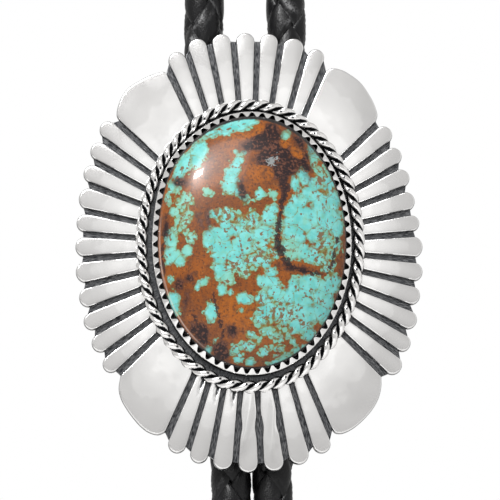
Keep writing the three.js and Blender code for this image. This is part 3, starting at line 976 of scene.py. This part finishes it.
# Seen places on the stone, in the photograph's pixels: middle x, middle y, half width and half height. Where
# there is a fifth number, it is the tilt in degrees, anticlockwise.
TURQUOISE_PATCHES = (
    (233, 126, 31, 6, 19), (199, 151, 8, 11, -20), (182, 167, 7, 15, -25), (196, 160, 6, 9),
    (238, 161, 5, 5), (235, 168, 6, 7), (231, 176, 8, 9), (229, 187, 8, 7), (237, 191, 5, 4),
    (208, 192, 5, 4), (246, 200, 3, 3), (260, 195, 6, 6), (273, 194, 5, 5), (235, 151, 2, 2),
    (245, 152, 2, 2), (286, 134, 5, 4), (311, 148, 3, 6, 30), (315, 159, 5, 7), (304, 176, 6, 9, 15),
    (322, 173, 7, 8), (317, 184, 9, 8), (328, 183, 7, 9), (296, 185, 5, 9, 10), (300, 201, 8, 8),
    (312, 193, 10, 9), (323, 203, 11, 10), (333, 200, 8, 11), (304, 220, 21, 18), (292, 211, 9, 10),
    (327, 218, 15, 13), (337, 227, 7, 11), (296, 233, 13, 14), (317, 233, 13, 11), (217, 214, 7, 6),
    (227, 216, 8, 7), (230, 228, 12, 10), (220, 236, 12, 10), (210, 240, 8, 9), (242, 220, 6, 7),
    (253, 219, 7, 8), (269, 217, 7, 9), (273, 209, 6, 5), (265, 234, 11, 9), (247, 239, 9, 9),
    (242, 228, 3, 3), (186, 198, 6, 6), (182, 204, 7, 6), (168, 200, 2, 6), (174, 213, 5, 5),
    (186, 214, 6, 5), (185, 222, 5, 5), (178, 223, 4, 4), (176, 229, 4, 4), (186, 232, 3, 3),
    (192, 239, 5, 5), (171, 240, 7, 8), (171, 188, 4, 6), (178, 191, 3, 3), (173, 255, 8, 8),
    (180, 261, 6, 6), (187, 251, 6, 6), (169, 263, 3, 3), (222, 247, 14, 9), (242, 246, 13, 10),
    (261, 245, 10, 9), (271, 249, 4, 5), (275, 257, 4, 4), (220, 257, 8, 8), (236, 257, 11, 9),
    (256, 261, 10, 7), (242, 266, 10, 7), (265, 264, 5, 5), (222, 271, 9, 9), (227, 277, 8, 7),
    (245, 274, 4, 4), (271, 273, 6, 5), (270, 281, 9, 6), (262, 281, 6, 6), (222, 289, 5, 6),
    (231, 292, 3, 3), (204, 282, 4, 4), (198, 288, 2, 3), (212, 312, 6, 8), (245, 299, 8, 6, -10),
    (242, 310, 2, 2), (174, 300, 6, 8), (175, 308, 5, 7, -20), (170, 279, 3, 4), (292, 248, 11, 13),
    (302, 251, 8, 9), (315, 255, 8, 10), (329, 253, 5, 6), (324, 243, 9, 7), (328, 266, 7, 6, 20),
    (336, 245, 5, 7), (294, 285, 6, 8), (309, 283, 13, 9), (327, 287, 10, 9), (334, 279, 6, 7, 30),
    (263, 298, 8, 7), (275, 293, 9, 8), (286, 298, 13, 11), (302, 298, 14, 11), (323, 298, 12, 11),
    (267, 313, 11, 11), (284, 313, 14, 12), (303, 313, 16, 12), (321, 310, 9, 12, 30), (267, 330, 7, 5),
    (281, 335, 9, 5, -10), (299, 326, 13, 9), (293, 340, 4, 3), (309, 334, 7, 7, 30), (259, 318, 6, 7),
    (253, 338, 7, 4, -38), (248, 346, 6, 5, -15), (263, 351, 4, 4), (277, 348, 6, 3, 5), (275, 355, 3, 2),
    (236, 351, 6, 6), (239, 357, 6, 6), (250, 362, 6, 4, -15), (286, 357, 11, 4, 28), (276, 362, 7, 3, 20),
    (297, 350, 9, 4, 35), (208, 351, 4, 5), (215, 340, 2, 2),
)
DARK_PATCHES = (
    (261, 142, 14, 8, 10), (272, 132, 9, 10, 30), (251, 145, 9, 5, 20), (277, 152, 16, 12),
    (265, 158, 9, 9), (285, 167, 18, 9, 25), (304, 158, 4, 14, 15), (301, 141, 9, 3, -45), (284, 182, 4, 9),
    (296, 268, 9, 2, -8), (242, 190, 3, 8, 10), (208, 217, 1, 4), (180, 182, 5, 3), (190, 278, 4, 4),
    (180, 286, 4, 5), (202, 335, 7, 12, 10), (221, 352, 8, 9), (232, 330, 4, 7), (186, 300, 2, 5),
    (166, 226, 2, 8), (200, 222, 1, 3, 30), (194, 330, 4, 5),
)
# Dark veins: each point's x, y and half width.
DARK_VEINS = (
    ((284, 180, 4.2), (286, 191, 3.6), (282, 203, 2.4), (281, 214, 1.7), (279, 224, 1.8), (277, 236, 2.4),
     (278, 246, 3), (283, 256, 3.2), (289, 265, 3), (304, 271, 2), (318, 273, 1.2), (328, 272, 0.5)),
    ((213, 294, 0.5), (219, 317, 0.8), (224, 336, 0.6)),
    ((184, 297, 0.5), (190, 310, 0.5), (198, 324, 0.6)),
    ((167, 219, 0.5), (164, 235, 0.9), (162, 250, 1.2), (162, 266, 1), (165, 282, 0.5)),
    ((338, 238, 0.6), (334, 254, 0.9), (331, 268, 0.8)), ((229, 327, 0.8), (229, 341, 0.6)),
)
# Where the turquoise is broken up by the brown, and where it is greener.
BROKEN_AREAS = (
    (265, 250, 16, 16), (243, 268, 20, 12), (275, 320, 30, 30), (325, 255, 14, 30), (240, 210, 30, 20),
    (190, 215, 18, 26), (325, 175, 12, 20), (250, 345, 30, 14),
)
GREEN_AREAS = (
    (238, 280, 20, 12), (215, 195, 18, 10), (290, 132, 10, 8), (273, 195, 8, 8), (292, 358, 18, 8, 28),
    (292, 250, 10, 12), (320, 165, 12, 14), (184, 220, 18, 44),
)
ORANGE_PATCHES = (
    (284, 143, 6, 6), (298, 152, 9, 6, -30), (247, 132, 20, 6, 15), (287, 137, 4, 4), (237, 310, 19, 17),
    (262, 173, 14, 9), (243, 316, 12, 14),
)
QUARTZ = ((271, 161, 5, 4, -40), (277, 158, 2, 3))
OTHER_PATCHES = {
    "dark": DARK_PATCHES,
    "broken": BROKEN_AREAS,
    "green": GREEN_AREAS,
    "orange": ORANGE_PATCHES,
    "quartz": QUARTZ,
}


def dome_height(rho):
    """The stone's height over its base, from its middle (0) to its side (1)."""
    return STONE_HEIGHT * (STONE_SIDE + (1 - STONE_SIDE) * math.sqrt(max(0.0, 1 - rho**2.3)))


def seen_pixels(piece):
    """Where the camera's view puts each vertex, as pixels of the photograph."""
    points = places(piece)
    height = PLATE_BACK - points[:, 1] - EYE_LEVEL
    up = (points[:, 2] - SLIDE_Z) * math.cos(TILT) + height * math.sin(TILT)
    right = (points[:, 0] - SLIDE_X) * math.cos(TURN) + height * math.sin(TURN)
    nearness = CAMERA_DISTANCE / (CAMERA_DISTANCE - height)
    return PHOTO_MIDDLE[0] + right / PIXEL * nearness, PHOTO_MIDDLE[1] - up / PIXEL * nearness


def depth_in_patches(x, y, patches):
    """How deep each point lies in its patch, in pixels, less than 0 outside: the most and the second most."""
    depths = []
    for middle_x, middle_y, half_width, half_height, *tilt in patches:
        turn = math.radians(sum(tilt))
        right, down = x - middle_x, y - middle_y
        along = right * math.cos(turn) - down * math.sin(turn)
        aside = right * math.sin(turn) + down * math.cos(turn)
        off = np.hypot(along / half_width, aside / half_height)
        depths.append((1 - off) * min(half_width, half_height, 7))
    depths = np.sort(np.array(depths), axis=0)
    return depths[-1], depths[-2]


def depth_in_veins(x, y, veins):
    depth = np.full(len(x), -1e3)
    for vein in veins:
        for (x0, y0, w0), (x1, y1, w1) in zip(vein, vein[1:]):
            length = (x1 - x0) ** 2 + (y1 - y0) ** 2
            share = np.clip(((x - x0) * (x1 - x0) + (y - y0) * (y1 - y0)) / length, 0, 1)
            off = np.hypot(x - x0 - share * (x1 - x0), y - y0 - share * (y1 - y0))
            depth = np.maximum(depth, w0 + share * (w1 - w0) - off)
    return depth


def turquoise_stone():
    """A domed oval stone, its patches painted on its vertices, with a painted reflection of the bezel along
    its lower left edge.
    """

    def place(s, t):
        x, z = s * math.sqrt(1 - t * t / 2), t * math.sqrt(1 - s * s / 2)
        height = STONE_BASE + dome_height(min(1.0, math.hypot(x, z)))
        right, up, half_width, half_length = (pixels * PIXEL for pixels in BEZEL_SEEN)
        x, z = x * (half_width - STONE_INSET), z * (half_length - STONE_INSET)
        grown = float(fuller(x, z))
        return seen(right + x * grown, up + z * grown, height, BEZEL_VALLEY)

    stone = pressed_sheet("turquoise", *STONE_GRID, place)
    close_down_to(stone, PLATE_BACK - STONE_BASE)
    outward(stone)
    smooth(stone, 50)
    x, y = seen_pixels(stone)
    deepest, second = depth_in_patches(x, y, TURQUOISE_PATCHES)
    paint(stone, "turquoise", deepest)
    paint(stone, "seam", deepest - second)
    paint(stone, "vein", depth_in_veins(x, y, DARK_VEINS))
    for name, patches in OTHER_PATCHES.items():
        paint(stone, name, depth_in_patches(x, y, patches)[0])
    right, up, half_width, half_length = BEZEL_SEEN
    aside, above = x - PHOTO_MIDDLE[0] - right, PHOTO_MIDDLE[1] - y - up
    off = np.hypot(aside / half_width, above / half_length) / fuller(aside, above)
    inwards = (1 - off) * half_width
    paint(stone, "inwards", inwards)
    # a painted reflection of the bezel: a pale line near the stone's lower left edge
    lower_left = smoothstep(0.72, 0.98, (PHOTO_MIDDLE[0] - x + 0.35 * (y - PHOTO_MIDDLE[1])) / half_width)
    paint(stone, "bezel_reflection", np.exp(-(((inwards - 7.2) / 0.55) ** 2)) * lower_left)
    return stone


stone = turquoise_stone()


# Clip

CLIP_EDGE = 0.14 * MM  # width of its bevel


def back_clip():
    """The clip's own form, with its corners softened."""
    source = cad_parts["bolo_clip"]
    clip = linked("back_clip", source.data.copy())
    outward(clip)
    with editing(clip):
        bpy.ops.mesh.dissolve_limited(angle_limit=math.radians(2))
    bevelled(clip, CLIP_EDGE, 40)
    smooth(clip, 35)
    return clip


clip = back_clip()


# Materials

def tip_silver():
    """Polished silver with fine scratches along the tip."""
    silver = Shader("tip silver", metallic=1.0)
    cloud = silver.noise(3 * MM, 2)
    silver.set_surface(
        base_color=silver.mix(cloud, (0.86, 0.85, 0.84), (0.93, 0.925, 0.92)),
        roughness=0.1 + 0.12 * silver.noise(2 * MM, 3),
    )
    lines = silver.noise(0.25 * MM, 2, silver.stretched(1, 1, 0.15))
    silver.relief(cloud * 0.6 + lines * 0.12, 0.02 * MM)
    return silver


def flute_silver():
    """Silver that is bright on top, with a painted reflection that is white at the inner end and greyer
    outwards, and dark low down in the grooves, which is blackening with painted shade.
    """
    silver = Shader("flute silver", metallic=1.0)
    # dark low down on the flutes' walls, below a noisy height: blackening with painted shade
    height = PLATE_BACK - silver.along("Y")
    edge_noise = silver.noise(0.5 * MM, 3)
    lit_and_polished = (height + edge_noise * 0.2 * MM).step(PLATE_THICKNESS + 0.4 * MM, PLATE_THICKNESS + 0.62 * MM)
    # the wedge at some flutes' inner ends is painted dark as shade
    lit_and_polished = lit_and_polished * (1 - silver.painted("wedge_shade"))
    cloud = silver.noise(3 * MM, 2)
    # painted reflection: the silver is painted white near a flute's inner end, with a sharp edge, and greyer
    # outwards
    outwards = silver.painted("outer") + (cloud - 0.5) * 0.5 + (silver.noise(7 * MM, 1) - 0.5) * 0.5
    painted_reflection_fade = 0.4 * outwards.step(0.2, 0.32) + 0.3 * outwards.step(0.3, 0.8) + 0.3 * outwards.step(0.6, 0.68)
    polish_and_painted_light = silver.mix(painted_reflection_fade, (0.97, 0.965, 0.96), (0.77, 0.762, 0.757))
    silver.set_surface(
        base_color=silver.mix(lit_and_polished, (0.05, 0.052, 0.055), polish_and_painted_light),
        roughness=0.45 - 0.33 * lit_and_polished + 0.1 * cloud,
    )
    silver.relief(cloud * 0.5 + silver.noise(0.3 * MM, 2) * (1.1 - lit_and_polished), 0.02 * MM)
    return silver


def blackened_plate():
    """The plate: dark in front, with paler file marks along its grooves, and plain silver behind."""
    silver = Shader("blackened plate", metallic=1.0)
    x, z = silver.along("X") - SLIDE_X, silver.along("Z") - SLIDE_Z
    round_it = silver.maths("ARCTAN2", x, z) * 0.03
    outwards = silver.maths("SQRT", x * x + z * z) * 0.12
    grain = silver.node("ShaderNodeCombineXYZ", {}, {"X": round_it, "Y": outwards})
    marks = silver.noise(0.11 * MM, 3, grain)
    cloud = silver.noise(1.5 * MM, 2)
    front = (PLATE_BACK - silver.along("Y")).step(PLATE_THICKNESS - 0.3 * MM, PLATE_THICKNESS - 0.1 * MM)
    dark = silver.mix((marks + 0.15 * cloud).step(0.46, 0.72), (0.032, 0.034, 0.038), (0.19, 0.192, 0.198))
    silver.set_surface(base_color=silver.mix(front, (0.85, 0.84, 0.83), dark), roughness=0.22 + 0.1 * front)
    silver.relief(marks, 0.018 * MM)
    return silver


def painted_silver(name, patchiness, patch_size, edge, black, white, dull, gloss):
    """Silver that is bright where its piece's polish is painted on, and dark elsewhere, which is blackening
    with painted shade.
    """
    silver = Shader(name, metallic=1.0)
    lit_and_polished = (silver.painted("polish_and_painted_light") + patchiness * silver.noise(patch_size, 3)).step(edge, edge + 0.3)
    silver.set_surface(base_color=silver.mix(lit_and_polished, black, white), roughness=dull - gloss * lit_and_polished)
    silver.relief(silver.noise(0.4 * MM, 3), 0.02 * MM)
    return silver


def wire_silver():
    black, white = (0.028, 0.03, 0.033), (0.82, 0.81, 0.8)
    return painted_silver("twisted wire silver", 0.25, 0.5 * MM, 0.45, black, white, 0.42, 0.27)


def bezel_silver():
    black, white = (0.03, 0.032, 0.035), (0.84, 0.83, 0.82)
    return painted_silver("bezel silver", 0.2, 0.4 * MM, 0.4, black, white, 0.4, 0.26)


def stone_colours():
    """Turquoise nuggets in a rust-brown matrix, with black-brown patches and veins."""
    s = Shader("turquoise in matrix", specular_ior_level=0.25, coat_roughness=0.06)
    fine = s.noise(0.45 * MM, 4)
    middling = s.noise(1.3 * MM, 3)
    broad = s.noise(4.5 * MM, 3)
    nuggets = s.cells(1.1 * MM)
    grains = s.noise(0.32 * MM, 2)
    broken = s.painted("broken").step(-2, 4)
    near = s.painted("turquoise") + 0.4
    edge = near + (middling - 0.5) * 7 + (fine - 0.5) * 5
    edge = edge - broken * (nuggets.step(0.35, 0.75) * 5 - 0.8)
    turquoise = edge.step(-0.5, 0.9)
    seam = (s.painted("seam") + (fine - 0.5) * 2.4).step(0, 0.9)
    cracks = (s.cells(2.3 * MM, "DISTANCE_TO_EDGE") + (fine - 0.5) * 0.16).step(0.0, 0.035)
    cracks = cracks.most(1 - (broad + broken * 0.3).step(0.5, 0.6))
    specks = (s.noise(0.6 * MM, 3) + broken * 0.08).step(0.62, 0.68)
    specks = specks.most((s.noise(1.1 * MM, 3) + broken * 0.07).step(0.63, 0.67))
    # the matrix
    brown = s.mix(broad.step(0.35, 0.65), (0.145, 0.04, 0.007), (0.215, 0.06, 0.008))
    brown = s.mix(s.painted("orange").step(-3, 3), brown, (0.26, 0.075, 0.008))
    brown = s.mix(middling.step(0.48, 0.66) * 0.6, brown, (0.095, 0.034, 0.014))
    brown = s.mix(fine.step(0.5, 0.66) * 0.7, brown, (0.06, 0.024, 0.012))
    brown = s.mix(grains.step(0.6, 0.7) * 0.75, brown, (0.03, 0.013, 0.01))
    brown = s.mix(grains.step(0.4, 0.3) * 0.35, brown, (0.33, 0.14, 0.04))
    # small nuggets with olive round them, scattered about the large ones
    scattered = (near * 0.085 + (middling - 0.5) * 1.3 + broken * 0.12).step(-0.26, 0.09)
    small = (scattered - s.cells(0.85 * MM) * 1.35 + (fine - 0.5) * 0.6).step(0.2, 0.42)
    halo = (scattered - s.cells(0.85 * MM) * 1.1 + (fine - 0.5) * 0.6).step(0.0, 0.3)
    olive = s.mix(fine.step(0.4, 0.6), (0.11, 0.1, 0.022), (0.16, 0.2, 0.07))
    matrix = s.mix(halo * 0.75, brown, olive)
    matrix = s.mix(small * 0.85, matrix, s.mix(grains, (0.14, 0.34, 0.24), (0.13, 0.42, 0.35)))
    # the large nuggets
    blue = s.mix(middling.step(0.3, 0.7), (0.085, 0.365, 0.345), (0.15, 0.465, 0.445))
    blue = s.mix(s.painted("green").step(-3, 5) * 0.42, blue, (0.2, 0.33, 0.17))
    blue = s.mix(s.noise(0.9 * MM, 2).step(0.48, 0.72) * 0.4, blue, (0.15, 0.31, 0.16))
    blue = s.mix((1 - seam) * 0.7, blue, (0.14, 0.2, 0.08))
    blue = s.mix((1 - cracks) * 0.85, blue, (0.15, 0.075, 0.02))
    blue = s.mix(specks * 0.9, blue, (0.14, 0.055, 0.014))
    rim = turquoise * (1 - edge.step(0.2, 2.4))
    blue = s.mix(rim * 0.75, blue, olive)
    colour = s.mix(turquoise, matrix, blue)
    # the dark patches and veins, fading out through a darker brown
    dark_edge = s.painted("dark") - s.painted("orange").most(0) * 3 + (middling - 0.5) * 9 + (fine - 0.5) * 8
    vein = (s.painted("vein") + (middling - 0.5) * 9 + (fine - 0.5) * 14).step(-0.8, 0.9)
    dark = dark_edge.step(-1.5, 1.2).most(vein)
    colour = s.mix(dark_edge.step(-5, 0) * 0.55, colour, (0.05, 0.02, 0.013))
    rust = fine.step(0.48, 0.63) * (1 - 0.6 * vein)
    black = s.mix(rust, (0.008, 0.004, 0.006), (0.1, 0.037, 0.022))
    colour = s.mix(dark * 0.95, colour, black)
    quartz = (s.painted("quartz") + (grains - 0.5) * 12).step(0, 0.8)
    colour = s.mix(quartz * 0.85, colour, (0.2, 0.22, 0.22))
    # painted shade under the bezel's teeth: the stone's edge is painted near-black
    out_of_teeth_shade = (s.painted("inwards") + (fine - 0.5) * 1.2).step(5.2, 6.4)
    colour = s.mix(out_of_teeth_shade, (0.012, 0.01, 0.01), colour)
    # the painted reflection of the bezel, a pale line along the stone's lower left edge
    colour = s.mix(s.painted("bezel_reflection") * out_of_teeth_shade * 0.55, colour, (0.6, 0.45, 0.38))
    s.set_surface(base_color=colour, roughness=0.3 + 0.1 * dark, coat_weight=0.16 * out_of_teeth_shade * (1 - 0.6 * dark))
    s.relief(fine * 0.4 + turquoise * 0.6, 0.01 * MM)
    return s


def black_leather():
    """Dyed leather thongs with a fine grain, and pale streaks along their tops that are a painted highlight
    with some wear.
    """
    leather = Shader("black leather", specular_ior_level=0.2, coat_weight=0.06, coat_roughness=0.2)
    grain = leather.cells(0.28 * MM)
    rub = leather.noise(1.6 * MM, 3)
    # grain that breaks up the pale streak, which is a painted highlight with some wear
    sheen_breakup = leather.noise(0.3 * MM, 3).step(0.36, 0.6) * leather.noise(3.5 * MM, 1).step(0.36, 0.52)
    dyed = leather.mix(rub, (0.002, 0.002, 0.0025), (0.005, 0.005, 0.0055))
    leather.set_surface(
        # the pale colour is the painted highlight, with some wear, along the thongs' tops
        base_color=leather.mix(leather.painted("sheen_and_wear") * sheen_breakup, dyed, (0.34, 0.34, 0.345)),
        roughness=0.26 + 0.16 * rub,
    )
    leather.relief(grain * 0.7 + leather.noise(0.12 * MM, 3) * 0.5, 0.05 * MM)
    return leather


def nickel():
    metal = Shader("brushed nickel", metallic=1.0)
    brushed = metal.noise(0.3 * MM, 3, metal.stretched(1, 1, 0.05))
    metal.set_surface(
        base_color=metal.mix(brushed, (0.52, 0.51, 0.5), (0.66, 0.65, 0.63)),
        roughness=0.26 + 0.2 * brushed,
    )
    metal.relief(brushed, 0.02 * MM)
    return metal


# The bezel's polish: bright on its top and teeth, dark lower on its walls and in the notches, which is
# blackening with painted shade.
def bezel_polish_and_shade(piece):
    height = PLATE_BACK - places(piece)[:, 1]
    return smoothstep(BEZEL_VALLEY - 0.25 * MM, BEZEL_VALLEY + 0.05 * MM, height)


paint(bezel, "polish_and_painted_light", bezel_polish_and_shade(bezel))
leather = black_leather()
bright_silver = tip_silver()
belongs(plate, blackened_plate(), "silver", "setting")
belongs(flutes, flute_silver(), "silver", "setting")
belongs(wire, wire_silver(), "silver", "setting")
belongs(bezel, bezel_silver(), "silver", "setting")
belongs(stone, stone_colours(), "turquoise", "stone")
belongs(clip, nickel(), "clip_metal", "bolo_clip")
belongs(neck_cord, leather, "black_leather", "neck_loop")
belongs(left_cord, leather, "black_leather", "left_tail")
belongs(right_cord, leather, "black_leather", "right_tail")
belongs(left_tip, bright_silver, "silver", "left_tip")
belongs(right_tip, bright_silver, "silver", "right_tip")

tuple(loop_line[0])
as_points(plain_line(loop_line))
tuple(left_line[0])
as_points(plain_line(left_line))
tuple(right_line[0])
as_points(plain_line(right_line))


# Floor and light

FLOOR_DROP = 30 * MM  # from the tips down to the floor
FLOOR_SIZE = 12
LIGHTS = (
    # name, direction to the right of the front, elevation, distance, width, height, roll, power
    ("softbox", -18, 36, 0.9, 0.5, 0.42, 0, 4.2),
    ("fill", 60, 10, 1.0, 1.0, 1.0, 0, 0.8),
    ("lamp", -31.5, 30.5, 0.8, 0.1, 0.05, 12, 4.5),
)
# The room as the polished flats see it: bright round the camera and greyer outwards
ROOM_LIGHT = 0.7
ROOM_MIDDLE = (0.03, 0.15)  # its brightest direction's share to the right and upwards
# Each ring's reach, half the width of its soft edge, and the brightness that is added inside it
ROOM_RINGS = ((0.042, 0.014, 0.3), (0.12, 0.05, 0.14))


def pale_floor():
    start_fresh()
    bpy.ops.mesh.primitive_plane_add(size=FLOOR_SIZE, location=(0, 0, tip_low.z - FLOOR_DROP))
    floor = added("floor")
    settle(floor)
    shader = Shader("pale floor", base_color=(0.8, 0.8, 0.8), roughness=0.7)
    floor.data.materials.append(shader.material)


def studio_world():
    """A pale room: white where the camera sees it, greyer and uneven where the silver reflects it."""
    studio = bpy.data.worlds.new("studio")
    bpy.context.scene.world = studio
    studio.use_nodes = True
    studio.node_tree.nodes.clear()
    world = Nodes(studio.node_tree)
    direction = world.node("ShaderNodeTexCoord", {}, {}, "Generated")
    right = world.node("ShaderNodeSeparateXYZ", {}, {"Vector": direction}, "X")
    up = world.node("ShaderNodeSeparateXYZ", {}, {"Vector": direction}, "Z")
    cloud = world.node("ShaderNodeTexNoise", {}, {"Vector": direction, "Scale": 5, "Detail": 2})
    fine = world.node("ShaderNodeTexNoise", {}, {"Vector": direction, "Scale": 22, "Detail": 1})
    aside, above = right - ROOM_MIDDLE[0], up - ROOM_MIDDLE[1]
    off = world.maths("SQRT", aside * aside + above * above) + (fine - 0.5) * 0.03
    light = ROOM_LIGHT + 0.12 * (cloud.step(0.35, 0.65) - 0.5) + 0.16 * (fine - 0.5)
    for reach, softness, brightness in ROOM_RINGS:
        light = light + brightness * (1 - off.step(reach - softness, reach + softness))
    room = world.node("ShaderNodeBackground", {}, {"Color": (1, 0.995, 0.985), "Strength": light})
    white = world.node("ShaderNodeBackground", {}, {"Color": (1, 1, 1)})
    camera = world.node("ShaderNodeLightPath", {}, {}, "Is Camera Ray")
    both = world.node("ShaderNodeMixShader", {}, {0: camera, 1: room, 2: white})
    world.node("ShaderNodeOutputWorld", {}, {"Surface": both}, None)


def studio_lights():
    middle = on_slide(0, 0, 0)
    for name, azimuth, elevation, distance, width, height, roll, power in LIGHTS:
        back = direction_of(azimuth, elevation)
        light = linked(name, bpy.data.lights.new(name, "AREA"))
        light.data.shape = "RECTANGLE"
        light.data.size, light.data.size_y = width, height
        light.data.energy = power
        light.location = middle + back * distance
        light.rotation_mode = "QUATERNION"
        facing = back.to_track_quat("Z", "Y")
        light.rotation_quaternion = facing @ Quaternion((0, 0, 1), math.radians(roll))


pale_floor()
studio_world()
studio_lights()
bpy.context.scene.view_settings.view_transform = "Standard"
